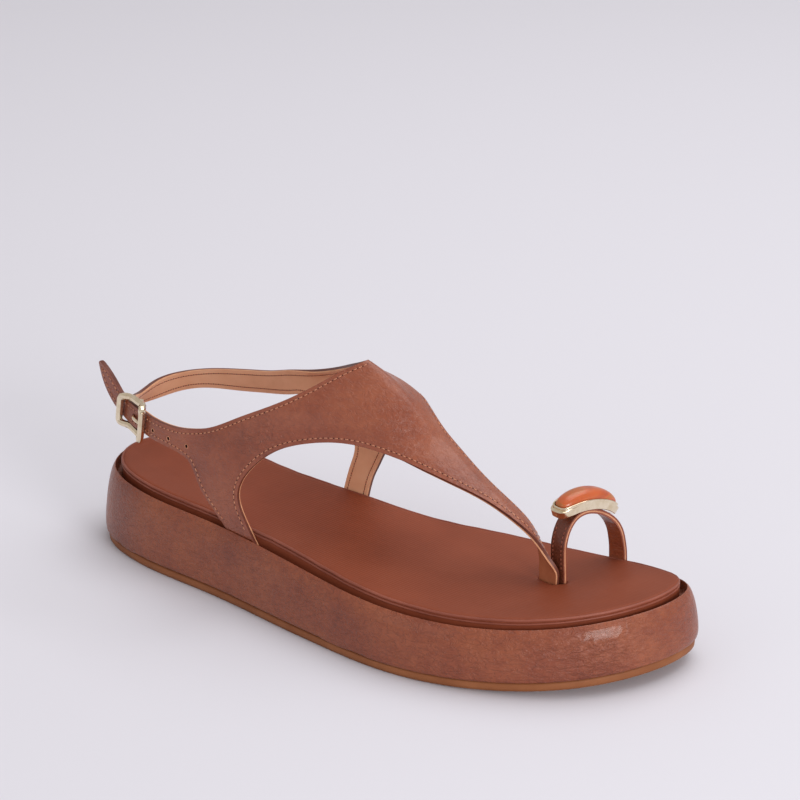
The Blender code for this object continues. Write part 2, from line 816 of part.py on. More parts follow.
def build_ring():
    bm = bmesh.new()
    points, normals, across = ring_path(RING_STEPS)
    square = Vector((across.y, -across.x, 0))
    groove = groove_direction(RING_STATION_MEDIAL)
    sections = []
    corner = 0.86
    for i, (point, normal) in enumerate(zip(points, normals)):
        # the inner leg turns until it lies along the groove that it stands in
        turn = min(max(i / (len(points) - 1) - 0.6, 0) * 3.25, 1)
        a = square.lerp(groove, turn).normalized() * RING_WIDTH / 2
        b = normal * RING_THICKNESS / 2 * (1 - (1 - RING_FOOT) * turn)
        outer = [point + a * corner + b, point - a * corner + b, point - a + b * corner]
        outer.append(point - a - b * corner)
        inner = [point - a * corner - b, point + a * corner - b, point + a - b * corner]
        inner.append(point + a + b * corner)
        sections.append(outer + inner)
    sweep(bm, sections, False)
    return new_object("toe_ring", bm, (0.22, 0.08, 0.05), 0.45)


def bezel_seat():
    """Height of the tray's middle at which its bent underside just clears the ring's leather."""
    start, across, span = ring_frame()
    tilt = math.radians(BEZEL_TILT)
    lean = across * math.sin(tilt) + Vector((0, 0, math.cos(tilt)))
    crest = start + across * span * BEZEL_SHIFT
    hub = crest - lean * BEZEL_BEND
    reach = BEZEL_BEND - GAP
    points, normals, _ = ring_path(RING_STEPS)
    seat = 0.0
    for point, normal in zip(points, normals):
        out = point + normal * RING_THICKNESS / 2 - hub
        aside = out.dot(across)
        if abs(aside) < min(BEZEL_LENGTH / 2, reach):
            seat = max(seat, out.z - math.sqrt(reach**2 - aside**2))
    return crest + Vector((0, 0, seat))


def bezel_place(along, aside, height):
    """A point of the stone's setting: along the bend, aside from its middle, and out from it."""
    _, across, _ = ring_frame()
    forward = Vector((across.y, -across.x, 0))
    angle = along / BEZEL_BEND
    radius = BEZEL_BEND + height
    aside_across = radius * math.sin(angle)
    rise = radius * math.cos(angle) - BEZEL_BEND
    tilt = math.radians(BEZEL_TILT)
    return (
        bezel_seat()
        + across * (aside_across * math.cos(tilt) + rise * math.sin(tilt))
        + Vector((0, 0, rise * math.cos(tilt) - aside_across * math.sin(tilt)))
        + forward * aside
    )


def oval(count, length, width, power):
    """Points of a long rounded outline."""
    points = []
    for i in range(count):
        turn = 2 * math.pi * i / count
        c, s = math.cos(turn), math.sin(turn)
        points.append(
            (
                length / 2 * math.copysign(abs(c) ** power, c),
                width / 2 * math.copysign(abs(s) ** power, s),
            )
        )
    return points


def bezel_ring(bm, ends, sides, height, square=BEZEL_SQUARE):
    """One ring of the tray or its stone, drawn in by these amounts from the tray's full size."""
    outline = oval(RIM_SIDES, BEZEL_LENGTH - 2 * ends, BEZEL_WIDTH - 2 * sides, square)
    return [bm.verts.new(bezel_place(along, aside, height)) for along, aside in outline]


def build_bezel():
    """A metal tray bent over the ring, with a step at each end and a thin lip round the stone."""
    bm = bmesh.new()
    toe = BEZEL_TOE
    lip = BEZEL_WALL * 0.4
    profile = (
        # drawn in at the ends, at the sides, height as a share
        (lip, lip, 0.0),
        (0.0, 0.0, 0.06),
        (0.0, 0.0, BEZEL_TOE_HEIGHT),
        (toe, lip * 0.2, BEZEL_TOE_HEIGHT + 0.04),
        (toe, lip * 0.2, 0.95),
        (toe + lip, lip, 1.0),
        (toe + BEZEL_WALL, BEZEL_WALL, 1.0),
        (toe + BEZEL_WALL, BEZEL_WALL, BEZEL_FLOOR),
    )
    rings = [bezel_ring(bm, ends, sides, BEZEL_HEIGHT * share) for ends, sides, share in profile]
    for low, high in zip(rings, rings[1:]):
        join_rings(bm, low, high)
    fill_oval(bm, rings[0])
    fill_oval(bm, rings[-1])
    return new_object("bezel", bm, (0.78, 0.68, 0.46), 0.18, 1.0, 40)


def fill_oval(bm, ring):
    """Strips across an oval ring, so that the cap bends with it."""
    half = len(ring) // 2
    for i in range(half):
        a, b = ring[i], ring[i + 1]
        c, d = ring[-i - 1], ring[-i] if i else ring[0]
        bm.faces.new(list(dict.fromkeys((a, b, c, d))))


def build_cabochon():
    """The domed stone, seated in the bezel."""
    bm = bmesh.new()
    inset = BEZEL_WALL + GAP
    length, width = BEZEL_LENGTH / 2 - BEZEL_TOE - inset, BEZEL_WIDTH / 2 - inset
    floor = BEZEL_HEIGHT * BEZEL_FLOOR + GAP
    rings = []
    for drawn_in, height in ((GAP, floor), (0.0, floor + GAP), (0.0, BEZEL_HEIGHT)):
        ends = BEZEL_TOE + inset + drawn_in
        rings.append(bezel_ring(bm, ends, inset + drawn_in, height))
    for k in range(1, DOME_STEPS):
        turn = math.pi / 2 * k / DOME_STEPS
        share = math.cos(turn) ** DOME_FULLNESS
        height = BEZEL_HEIGHT + DOME_HEIGHT * math.sin(turn)
        ends = BEZEL_LENGTH / 2 - length * share
        sides = BEZEL_WIDTH / 2 - width * share
        square = BEZEL_SQUARE + (1 - BEZEL_SQUARE) * k / DOME_STEPS
        rings.append(bezel_ring(bm, ends, sides, height, square))
    for low, high in zip(rings, rings[1:]):
        join_rings(bm, low, high)
    fill_oval(bm, rings[0])
    peak = bm.verts.new(bezel_place(0, 0, BEZEL_HEIGHT + DOME_HEIGHT))
    last = rings[-1]
    for i, vert in enumerate(last):
        bm.faces.new((vert, last[(i + 1) % len(last)], peak))
    return new_object("cabochon", bm, (0.55, 0.16, 0.04), 0.15)


def cut_slots(footbed):
    """Slots in the footbed for the tail and for the ring's inner leg."""
    front, rear, forward, aside = tail_end()
    post, _, _ = ring_frame()
    slots = (
        ((front + rear) / 2 + aside * WALL / 2, forward, (front - rear).length, WALL),
        (post, forward, RING_WIDTH, RING_THICKNESS),
    )
    for i, (centre, direction, length, thickness) in enumerate(slots):
        bm = bmesh.new()
        bmesh.ops.create_cube(bm, size=1)
        size = Matrix.Diagonal((length + 2 * GAP, thickness + 2 * GAP, SLOT_REACH, 1))
        turn = Matrix.Rotation(math.atan2(direction.y, direction.x), 4, "Z")
        level = Vector((centre.x, centre.y, deck_height(centre.x)))
        bmesh.ops.transform(bm, matrix=Matrix.Translation(level) @ turn @ size, verts=bm.verts)
        cutter = new_object(f"slot_{i + 1}", bm, (0.5, 0.5, 0.5), 0.5)
        boolean(footbed, "DIFFERENCE", cutter)


def main():
    for obj in list(bpy.data.objects):
        bpy.data.objects.remove(obj, do_unlink=True)
    build_outsole()
    build_midsole()
    footbed = build_footbed()
    cut_slots(footbed)
    build_upper()
    build_ring()
    build_bezel()
    build_cabochon()
    build_buckle()
    build_prong()


main()
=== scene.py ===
# Flatform toe-ring sandal: the looks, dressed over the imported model
import math

import bmesh
import bpy
from mathutils import Matrix, Vector, noise
from mathutils.bvhtree import BVHTree
from mathutils.kdtree import KDTree


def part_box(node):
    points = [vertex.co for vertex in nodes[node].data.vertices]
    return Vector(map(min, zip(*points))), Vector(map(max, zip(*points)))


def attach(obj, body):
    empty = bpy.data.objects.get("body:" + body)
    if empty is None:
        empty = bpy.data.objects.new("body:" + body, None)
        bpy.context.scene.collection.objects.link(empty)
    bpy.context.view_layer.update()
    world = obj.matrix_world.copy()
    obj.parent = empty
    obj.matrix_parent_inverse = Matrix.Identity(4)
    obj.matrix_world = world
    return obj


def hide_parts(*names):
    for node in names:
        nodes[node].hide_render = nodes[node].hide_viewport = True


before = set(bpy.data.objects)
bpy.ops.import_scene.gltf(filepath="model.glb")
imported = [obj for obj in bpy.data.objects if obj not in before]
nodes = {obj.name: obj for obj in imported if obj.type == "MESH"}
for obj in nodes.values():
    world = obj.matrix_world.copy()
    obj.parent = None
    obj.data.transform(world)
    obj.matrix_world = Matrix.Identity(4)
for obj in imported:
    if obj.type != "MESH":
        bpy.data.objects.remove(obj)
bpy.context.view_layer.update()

mm = 0.001
print("frame loaded:", len(nodes), "nodes")


# Small helpers for nodes and meshes

def linear(hexColour):
    # sRGB hex to the linear colour that a shader takes
    channels = [int(hexColour[i:i + 2], 16) / 255 for i in (1, 3, 5)]
    return [c / 12.92 if c <= 0.04045 else ((c + 0.055) / 1.055) ** 2.4 for c in channels] + [1.0]


def newMaterial(name):
    material = bpy.data.materials.new(name)
    material.use_nodes = True
    return material, material.node_tree.nodes["Principled BSDF"]


def addNode(material, kind, settings=None, links=None):
    # one node with its settings, and its inputs linked from other nodes' outputs
    node = material.node_tree.nodes.new(kind)
    for name, value in (settings or {}).items():
        if isinstance(name, int) or name in node.inputs:
            node.inputs[name].default_value = value
        else:
            setattr(node, name, value)
    for name, output in (links or {}).items():
        material.node_tree.links.new(output, node.inputs[name])
    return node


def setShader(material, shader, values, links):
    for name, value in values.items():
        shader.inputs[name].default_value = value
    for name, output in links.items():
        material.node_tree.links.new(output, shader.inputs[name])


def colourRamp(material, factor, stops):
    # stops are (place, hex colour) pairs
    ramp = addNode(material, "ShaderNodeValToRGB", {}, {"Fac": factor})
    while len(ramp.color_ramp.elements) < len(stops):
        ramp.color_ramp.elements.new(0.5)
    for element, (place, colour) in zip(ramp.color_ramp.elements, stops):
        element.position = place
        element.color = linear(colour)
    return ramp.outputs["Color"]


def mergedCopy(node):
    # a CAD node's loose triangles as one closed mesh, mostly of quads
    bm = bmesh.new()
    bm.from_mesh(nodes[node].data)
    for layer in list(bm.loops.layers.uv):
        bm.loops.layers.uv.remove(layer)
    bm.edges.layers.float.new("crease_edge")
    bmesh.ops.remove_doubles(bm, verts=bm.verts, dist=0.002 * mm)
    for face in bm.faces:
        face.material_index = 0
    bmesh.ops.join_triangles(
        bm,
        faces=bm.faces,
        angle_face_threshold=math.radians(35),
        angle_shape_threshold=math.radians(50),
    )
    return bm


def makePiece(bm, name, materials):
    mesh = bpy.data.meshes.new(name)
    bm.to_mesh(mesh)
    bm.free()
    piece = bpy.data.objects.new(name, mesh)
    bpy.context.scene.collection.objects.link(piece)
    for material in materials:
        mesh.materials.append(material)
    mesh.shade_smooth()
    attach(piece, "root")
    return piece


def freeze(piece):
    # the piece's mesh as its modifiers leave it
    graph = bpy.context.evaluated_depsgraph_get()
    mesh = bpy.data.meshes.new_from_object(piece.evaluated_get(graph), depsgraph=graph)
    old = piece.data
    piece.modifiers.clear()
    piece.data = mesh
    bpy.data.meshes.remove(old)
    mesh.name = piece.name
    mesh.shade_smooth()


def subdivide(piece, levels):
    smooth = piece.modifiers.new("smooth", "SUBSURF")
    smooth.levels = levels
    smooth.render_levels = levels
    freeze(piece)


def softenEdges(bm, edges, width, segments=2):
    bmesh.ops.bevel(
        bm,
        geom=list(edges),
        offset=width,
        offset_type="OFFSET",
        segments=segments,
        profile=0.5,
        affect="EDGES",
        clamp_overlap=True,
        material=-1,
    )


def sharpEdges(bm, degrees):
    limit = math.radians(degrees)
    return [e for e in bm.edges if len(e.link_faces) == 2 and e.calc_face_angle(0) > limit]


def creaseEdges(bm, edges, amount=1.0):
    layer = bm.edges.layers.float.get("crease_edge")
    for edge in edges:
        edge[layer] = amount


def surfaceTree(bm, keep=lambda face: True):
    # a tree of the chosen faces, to find the nearest place on them
    bm.verts.index_update()
    points = [v.co.copy() for v in bm.verts]
    return BVHTree.FromPolygons(points, [[v.index for v in f.verts] for f in bm.faces if keep(f)])


# Materials

calf = {
    "dark": "#70331f", "mid": "#87432a", "light": "#9c5638",
    "cloud": 26 * mm, "grain": 0.6 * mm, "fold": 1.9 * mm, "shine": 0.5, "wax": 0.26,
    "roughness": (0.30, 0.46), "grainDepth": 0.045 * mm, "foldDepth": 0.30 * mm,
}


def tumbledCalf(name, look, hubs):
    # calfskin, drum-tumbled and waxed: a fine pebbled grain under a soft wax gloss,
    # with small glossy folds where the skin was pulled over the last
    material, shader = newMaterial(name)
    place = addNode(material, "ShaderNodeTexCoord").outputs["Object"]
    cloud = addNode(
        material, "ShaderNodeTexNoise",
        {"Scale": 1 / look["cloud"], "Detail": 5.0, "Roughness": 0.62}, {"Vector": place},
    ).outputs["Fac"]
    speck = addNode(
        material, "ShaderNodeTexNoise",
        {"Scale": 1 / (2.4 * mm), "Detail": 3.0, "Roughness": 0.6}, {"Vector": place},
    ).outputs["Fac"]
    tone = addNode(material, "ShaderNodeMath", {"operation": "MULTIPLY_ADD", 1: 0.35}, {0: speck, 2: cloud})
    colour = colourRamp(
        material, tone.outputs[0], [(0.38, look["dark"]), (0.62, look["mid"]), (0.95, look["light"])]
    )
    grain = addNode(
        material, "ShaderNodeTexVoronoi",
        {"feature": "SMOOTH_F1", "Scale": 1 / look["grain"], "Smoothness": 0.6, "Randomness": 0.95},
        {"Vector": place},
    ).outputs["Distance"]
    squash = addNode(material, "ShaderNodeMapping", {"Scale": look["stretch"]}, {"Vector": place})
    folds = addNode(
        material, "ShaderNodeTexNoise",
        {"Scale": 1 / look["fold"], "Detail": 4.0, "Roughness": 0.55, "Distortion": 1.4},
        {"Vector": squash.outputs[0]},
    ).outputs["Fac"]
    # a fold is a rounded swell of the skin, with its flanks drawn in
    foldHeight = addNode(
        material, "ShaderNodeMapRange",
        {
            "From Min": 0.36, "From Max": 0.64, "To Min": 0.0, "To Max": 1.0,
            "interpolation_type": "SMOOTHSTEP",
        },
        {"Value": folds},
    ).outputs[0]
    # folds are deep only round the hubs where the skin is pulled together
    strength = None
    for centre, radius, amount in hubs:
        away = addNode(
            material, "ShaderNodeVectorMath",
            {"operation": "DISTANCE", 1: [c * mm for c in centre]}, {0: place},
        )
        near = addNode(
            material, "ShaderNodeMapRange",
            {
                "From Min": 0.2 * radius * mm, "From Max": radius * mm, "To Min": amount, "To Max": 0.0,
                "interpolation_type": "SMOOTHSTEP",
            },
            {"Value": away.outputs["Value"]},
        ).outputs[0]
        strength = near if strength is None else addNode(
            material, "ShaderNodeMath", {"operation": "MAXIMUM"}, {0: strength, 1: near}
        ).outputs[0]
    base = addNode(material, "ShaderNodeMath", {"operation": "MAXIMUM", 1: look["everywhere"]}, {0: strength})
    foldAmount = addNode(
        material, "ShaderNodeMath", {"operation": "MULTIPLY"}, {0: foldHeight, 1: base.outputs[0]}
    ).outputs[0]
    grainBump = addNode(
        material, "ShaderNodeBump",
        {"Strength": 0.75, "Distance": look["grainDepth"]}, {"Height": grain},
    )
    foldBump = addNode(
        material, "ShaderNodeBump",
        {"Strength": 0.9, "Distance": look["foldDepth"]},
        {"Height": foldAmount, "Normal": grainBump.outputs[0]},
    )
    low, high = look["roughness"]
    wax = addNode(
        material, "ShaderNodeMapRange",
        {"From Min": 0.35, "From Max": 0.7, "To Min": low, "To Max": high}, {"Value": cloud},
    ).outputs[0]
    setShader(
        material, shader,
        {
            "IOR": 1.48, "Specular IOR Level": look["shine"],
            "Coat Weight": look["wax"], "Coat Roughness": 0.14,
        },
        {"Base Color": colour, "Roughness": wax, "Normal": foldBump.outputs[0]},
    )
    return material


def smoothSkin(name, look):
    # a plain finished skin: even colour with faint clouds, pores and a low wax gloss
    material, shader = newMaterial(name)
    place = addNode(material, "ShaderNodeTexCoord").outputs["Object"]
    cloud = addNode(
        material, "ShaderNodeTexNoise",
        {"Scale": 1 / look["cloud"], "Detail": 4.0, "Roughness": 0.6}, {"Vector": place},
    ).outputs["Fac"]
    colour = colourRamp(
        material, cloud, [(0.3, look["dark"]), (0.52, look["mid"]), (0.78, look["light"])]
    )
    pores = addNode(
        material, "ShaderNodeTexNoise",
        {"Scale": 1 / look["pore"], "Detail": 2.0, "Roughness": 0.7}, {"Vector": place},
    ).outputs["Fac"]
    bump = addNode(
        material, "ShaderNodeBump", {"Strength": 0.6, "Distance": look["poreDepth"]}, {"Height": pores}
    )
    setShader(
        material, shader,
        {
            "IOR": 1.46, "Roughness": look["roughness"], "Specular IOR Level": look["shine"],
        },
        {"Base Color": colour, "Normal": bump.outputs[0]},
    )
    return material


def brushedCover(name, look):
    # microfibre footbed cover, pressed with fine ribs: matte, with faint lines that run to the toe
    material, shader = newMaterial(name)
    place = addNode(material, "ShaderNodeTexCoord").outputs["Object"]
    cloud = addNode(
        material, "ShaderNodeTexNoise",
        {"Scale": 1 / look["cloud"], "Detail": 4.0, "Roughness": 0.55}, {"Vector": place},
    ).outputs["Fac"]
    colour = colourRamp(
        material, cloud, [(0.3, look["dark"]), (0.55, look["mid"]), (0.8, look["light"])]
    )
    rib = addNode(
        material, "ShaderNodeTexWave",
        {
            "wave_type": "BANDS", "bands_direction": "Y", "Scale": look["ribScale"] / look["rib"],
            "Distortion": 0.6, "Detail": 1.0, "Detail Scale": 2.0,
        },
        {"Vector": place},
    ).outputs["Fac"]
    nap = addNode(
        material, "ShaderNodeTexNoise",
        {"Scale": 1 / look["nap"], "Detail": 2.0, "Roughness": 0.7}, {"Vector": place},
    ).outputs["Fac"]
    ribBump = addNode(
        material, "ShaderNodeBump", {"Strength": 0.35, "Distance": look["ribDepth"]}, {"Height": rib}
    )
    napBump = addNode(
        material, "ShaderNodeBump",
        {"Strength": 0.5, "Distance": look["napDepth"]}, {"Height": nap, "Normal": ribBump.outputs[0]},
    )
    setShader(
        material, shader,
        {"IOR": 1.45, "Specular IOR Level": 0.2, "Roughness": 0.55},
        {"Base Color": colour, "Normal": napBump.outputs[0]},
    )
    return material


def spunThread(name, colour):
    # waxed polyester thread, two-ply: a slight twist in its colour and bump
    material, shader = newMaterial(name)
    place = addNode(material, "ShaderNodeTexCoord").outputs["Object"]
    twist = addNode(
        material, "ShaderNodeTexWave",
        {"wave_type": "BANDS", "bands_direction": "DIAGONAL", "Scale": 1 / (1.6 * mm), "Distortion": 1.5},
        {"Vector": place},
    ).outputs["Fac"]
    tone = colourRamp(material, twist, [(0.1, colour[0]), (0.9, colour[1])])
    bump = addNode(material, "ShaderNodeBump", {"Strength": 0.4, "Distance": 0.05 * mm}, {"Height": twist})
    setShader(
        material, shader, {"IOR": 1.5, "Roughness": 0.55},
        {"Base Color": tone, "Normal": bump.outputs[0]},
    )
    return material


def plated(name, look):
    # pale gold plate over polished zinc: a mirror with faint polishing marks
    material, shader = newMaterial(name)
    place = addNode(material, "ShaderNodeTexCoord").outputs["Object"]
    haze = addNode(
        material, "ShaderNodeTexNoise",
        {"Scale": 1 / (3 * mm), "Detail": 3.0, "Roughness": 0.6}, {"Vector": place},
    ).outputs["Fac"]
    gloss = addNode(
        material, "ShaderNodeMapRange",
        {"From Min": 0.3, "From Max": 0.7, "To Min": look["gloss"][0], "To Max": look["gloss"][1]},
        {"Value": haze},
    ).outputs[0]
    colour = colourRamp(material, haze, [(0.3, look["deep"]), (0.7, look["pale"])])
    wave = addNode(material, "ShaderNodeBump", {"Strength": 0.12, "Distance": 0.05 * mm}, {"Height": haze})
    setShader(
        material, shader, {"Metallic": 1.0},
        {"Base Color": colour, "Roughness": gloss, "Normal": wave.outputs[0]},
    )
    return material


def marbledResin(name, look):
    # cast polyester resin, marbled amber and orange: clouded bands under a hard gloss
    material, shader = newMaterial(name)
    place = addNode(material, "ShaderNodeTexCoord").outputs["Object"]
    flow = addNode(material, "ShaderNodeMapping", {"Scale": look["flow"]}, {"Vector": place})
    bands = addNode(
        material, "ShaderNodeTexNoise",
        {"Scale": 1 / look["band"], "Detail": 1.5, "Roughness": 0.4, "Distortion": 0.5},
        {"Vector": flow.outputs[0]},
    ).outputs["Fac"]
    colour = colourRamp(material, bands, look["stops"])
    setShader(
        material, shader,
        {
            "IOR": 1.5, "Roughness": 0.3, "Coat Weight": 0.15, "Coat Roughness": 0.2,
            "Subsurface Weight": 0.15, "Subsurface Scale": 1.5 * mm,
        },
        {"Base Color": colour},
    )
    return material


def mouldedRubber(name, look):
    # moulded TPR rubber: dull and even, with a faint flow mottle and a fine moulded matt texture
    material, shader = newMaterial(name)
    place = addNode(material, "ShaderNodeTexCoord").outputs["Object"]
    mottle = addNode(
        material, "ShaderNodeTexNoise",
        {"Scale": 1 / look["mottle"], "Detail": 4.0, "Roughness": 0.6}, {"Vector": place},
    ).outputs["Fac"]
    matt = addNode(
        material, "ShaderNodeTexNoise",
        {"Scale": 1 / look["matt"], "Detail": 2.0, "Roughness": 0.6}, {"Vector": place},
    ).outputs["Fac"]
    colour = colourRamp(material, mottle, [(0.3, look["dark"]), (0.7, look["light"])])
    bump = addNode(material, "ShaderNodeBump", {"Strength": 0.5, "Distance": 0.04 * mm}, {"Height": matt})
    setShader(
        material, shader, {"IOR": 1.5, "Specular IOR Level": 0.22, "Roughness": 0.58},
        {"Base Color": colour, "Normal": bump.outputs[0]},
    )
    return material


upperSkin = tumbledCalf(
    "calfskinUpper",
    {**calf, "stretch": (0.55, 1.0, 1.0), "everywhere": 0.55},
    # where the folds gather: centre in mm, radius in mm, depth
    [((62, -27, 66), 20, 0.9), ((85, -18, 76), 22, 0.6), ((170, 8, 34), 16, 0.6), ((72, -31, 52), 15, 0.5)],
)
wrapSkin = tumbledCalf(
    "calfskinWrap",
    {**calf, "dark": "#6c301d", "mid": "#824028", "light": "#985334", "stretch": (0.6, 0.6, 1.3),
     "everywhere": 0.62, "fold": 2.1 * mm, "foldDepth": 0.42 * mm, "shine": 0.38, "wax": 0.24},
    [
        ((205, -14, 15), 24, 1.0), ((98, -42, 18), 22, 0.8),
        ((165, -40, 15), 34, 0.6), ((-5, -30, 16), 20, 0.5),
    ],
)
# painted shade: a darker copy of the calfskin for the toe ring's outer faces, which sit in shade between the
# tail and the ring
ringShadedSkin = tumbledCalf(
    "calfskinRingPaintedShade",
    {**calf, "dark": "#4f2316", "mid": "#63301f", "light": "#7a402b", "stretch": (1.0, 1.0, 1.0),
     "everywhere": 0.5, "shine": 0.4},
    [((185, 8, 40), 20, 0.6)],
)
tailLining = smoothSkin("calfskinTailLining", {
    "dark": "#9c5a3c", "mid": "#ac6747", "light": "#b87552", "cloud": 10 * mm,
    "pore": 0.5 * mm, "poreDepth": 0.05 * mm, "roughness": 0.45, "shine": 0.3,
})
liningSkin = smoothSkin("pigskinLining", {
    "dark": "#d99f7c", "mid": "#e5ad89", "light": "#ecba97", "cloud": 18 * mm,
    "pore": 0.5 * mm, "poreDepth": 0.04 * mm, "roughness": 0.5, "shine": 0.25,
})
edgePaint = smoothSkin("edgePaint", {
    "dark": "#522a20", "mid": "#633327", "light": "#754031", "cloud": 6 * mm,
    "pore": 0.4 * mm, "poreDepth": 0.05 * mm, "roughness": 0.42, "shine": 0.3,
})
cutEdge = smoothSkin("cutLiningEdge", {
    "dark": "#b87a58", "mid": "#cf9570", "light": "#dba782", "cloud": 5 * mm,
    "pore": 0.35 * mm, "poreDepth": 0.06 * mm, "roughness": 0.6, "shine": 0.3,
})
footbedCover = brushedCover("microfibreFootbed", {
    "dark": "#7e3d27", "mid": "#87432c", "light": "#904a32", "cloud": 40 * mm,
    "rib": 1.2 * mm, "ribScale": 0.314, "ribDepth": 0.08 * mm, "nap": 0.35 * mm, "napDepth": 0.04 * mm,
})
beadSkin = smoothSkin("footbedPiping", {
    "dark": "#7c4030", "mid": "#8c4c3a", "light": "#985644", "cloud": 20 * mm,
    "pore": 0.5 * mm, "poreDepth": 0.04 * mm, "roughness": 0.45, "shine": 0.35,
})
outerThread = spunThread("polyesterThreadTan", ("#a9684b", "#c98f70"))
liningThread = spunThread("polyesterThreadBrown", ("#8e4a35", "#a55a43"))
# painted shade: dark brown for the shade in the needle holes and on the punched holes' walls
needleHoleShade = smoothSkin("needleHoleShade", {
    "dark": "#3a1d17", "mid": "#452219", "light": "#52291f", "cloud": 5 * mm,
    "pore": 0.4 * mm, "poreDepth": 0.02 * mm, "roughness": 0.8, "shine": 0.3,
})
goldPlate = plated("paleGoldPlate", {"deep": "#dcc9a8", "pale": "#f4e6cc", "gloss": (0.06, 0.14)})
amberResin = marbledResin("amberResin", {
    "flow": (0.3, 0.3, 1.5), "band": 5 * mm,
    "stops": [(0.3, "#a34621"), (0.45, "#bd5a2a"), (0.56, "#a8622a"), (0.7, "#c2653a"), (0.85, "#cf7a4a")],
})
soleRubber = mouldedRubber("tprOutsole", {
    "dark": "#865030", "light": "#965e3b", "mottle": 15 * mm, "matt": 0.6 * mm,
})
print("materials made")


# Outsole

bm = mergedCopy("outsole")
creaseEdges(bm, sharpEdges(bm, 40), 0.6)
outsole = makePiece(bm, "outsoleSheet", [soleRubber])
subdivide(outsole, 1)
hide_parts("outsole")
print("outsole dressed")


# Platform wrap: the skin pulled over the block, with soft folds where it gathers

wrapFolds = {
    # centre, hub that the folds run round (or fan out from), radius, spacing, depth, all in mm
    "toe": {"centre": (206, -14, 14), "hub": (188, -26, 32), "radius": 17, "spacing": 3.0, "depth": 0.16},
    "ball": {"centre": (168, -40, 14), "hub": (200, -60, 120), "radius": 26, "spacing": 3.4, "depth": 0.10},
    "waist": {"centre": (98, -42, 17), "hub": (98, -40, 27), "radius": 14, "spacing": 3.0, "depth": 0.14,
              "fan": True},
    "heel": {"centre": (0, -31, 16), "hub": (10, -60, 90), "radius": 20, "spacing": 3.6, "depth": 0.08},
    "inner": {"centre": (170, 40, 14), "hub": (150, 60, 110), "radius": 26, "spacing": 3.4, "depth": 0.10},
}


def foldHeight(point, folds):
    # how far the skin stands in or out at a point, in metres
    height = 0.0
    for fold in folds.values():
        centre, hub = Vector(fold["centre"]) * mm, Vector(fold["hub"]) * mm
        mask = math.exp(-((point - centre).length / (fold["radius"] * mm)) ** 2)
        if mask < 0.02:
            continue
        warp = noise.noise(point * (1 / (9 * mm))) * 1.3 + noise.noise(point * (1 / (4 * mm))) * 0.5
        reach = (point - hub).length
        if fold.get("fan"):
            turn = math.atan2(point.x - hub.x, hub.z - point.z)
            phase = turn * 11 / fold["spacing"]
        else:
            phase = reach / (fold["spacing"] * mm)
        patchy = max(0.0, noise.noise(point * (1 / (7 * mm)) + Vector((3, 1, 7))) + 0.35)
        height += mask * patchy * fold["depth"] * mm * math.cos(2 * math.pi * (phase + warp))
    return height


def foldSkin(piece, folds, faces=None):
    bm = bmesh.new()
    bm.from_mesh(piece.data)
    bm.normal_update()
    moves = []
    for vert in bm.verts:
        if faces and not any(face.material_index in faces for face in vert.link_faces):
            continue
        height = foldHeight(vert.co, folds)
        if height:
            moves.append((vert, vert.normal * height))
    for vert, move in moves:
        vert.co += move
    bm.to_mesh(piece.data)
    bm.free()
    piece.data.shade_smooth()


bm = mergedCopy("midsole")
wallEdges = [e for e in bm.edges if len(e.link_faces) == 2 and e.calc_length() > 3 * mm]
creaseEdges(bm, sharpEdges(bm, 50), 0.9)
sideRuns = [
    e for e in wallEdges
    if abs(e.verts[0].co.z - e.verts[1].co.z) < 1.5 * mm
    and all(abs(f.normal.z) < 0.95 for f in e.link_faces)
]
bmesh.ops.subdivide_edges(bm, edges=sideRuns, cuts=1, smooth=0.0, use_grid_fill=True)
wrap = makePiece(bm, "platformWrap", [wrapSkin])
subdivide(wrap, 2)
foldSkin(wrap, wrapFolds)
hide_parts("midsole")
print("platform dressed")


# Footbed: the cover, re-meshed evenly, and the two beads that run round its edge

footbedLook = {
    "voxel": 0.7 * mm, "passes": 5, "steps": 220, "beads": (
        # drop below the edge, how far in, thickness
        {"drop": 0.50 * mm, "inward": 0.05 * mm, "radius": 0.50 * mm},
        {"drop": 1.85 * mm, "inward": -0.05 * mm, "radius": 0.44 * mm},
    ),
    "heelCentre": 2 * mm, "toeCentre": 176 * mm, "centreLean": 0.075, "highest": 38 * mm,
}
bm = mergedCopy("footbed")
footbedTree = surfaceTree(bm)
footbed = makePiece(bm, "footbedCover", [footbedCover])
remesh = footbed.modifiers.new("remesh", "REMESH")
remesh.mode = "VOXEL"
remesh.voxel_size = footbedLook["voxel"]
relax = footbed.modifiers.new("relax", "SMOOTH")
relax.factor = 0.5
relax.iterations = footbedLook["passes"]
freeze(footbed)
footbed.data.materials.clear()
footbed.data.materials.append(footbedCover)
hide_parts("footbed")


def spinePoint(turn, look):
    # a place on the sole's middle line and the level direction out from it, heel first
    heel, toe = look["heelCentre"], look["toeCentre"]
    straight = toe - heel
    radius = 30 * mm
    around = 2 * (straight + math.pi * radius)
    run = turn * around
    if run < straight:
        x, angle = heel + run, -90
    elif run < straight + math.pi * radius:
        x, angle = toe, -90 + math.degrees((run - straight) / radius)
    elif run < 2 * straight + math.pi * radius:
        x, angle = toe - (run - straight - math.pi * radius), 90
    else:
        x, angle = heel, 90 + math.degrees((run - 2 * straight - math.pi * radius) / radius)
    direction = Vector((math.cos(math.radians(angle)), math.sin(math.radians(angle)), 0))
    return Vector((x, look["centreLean"] * max(x - 0.06, 0), 0)), direction


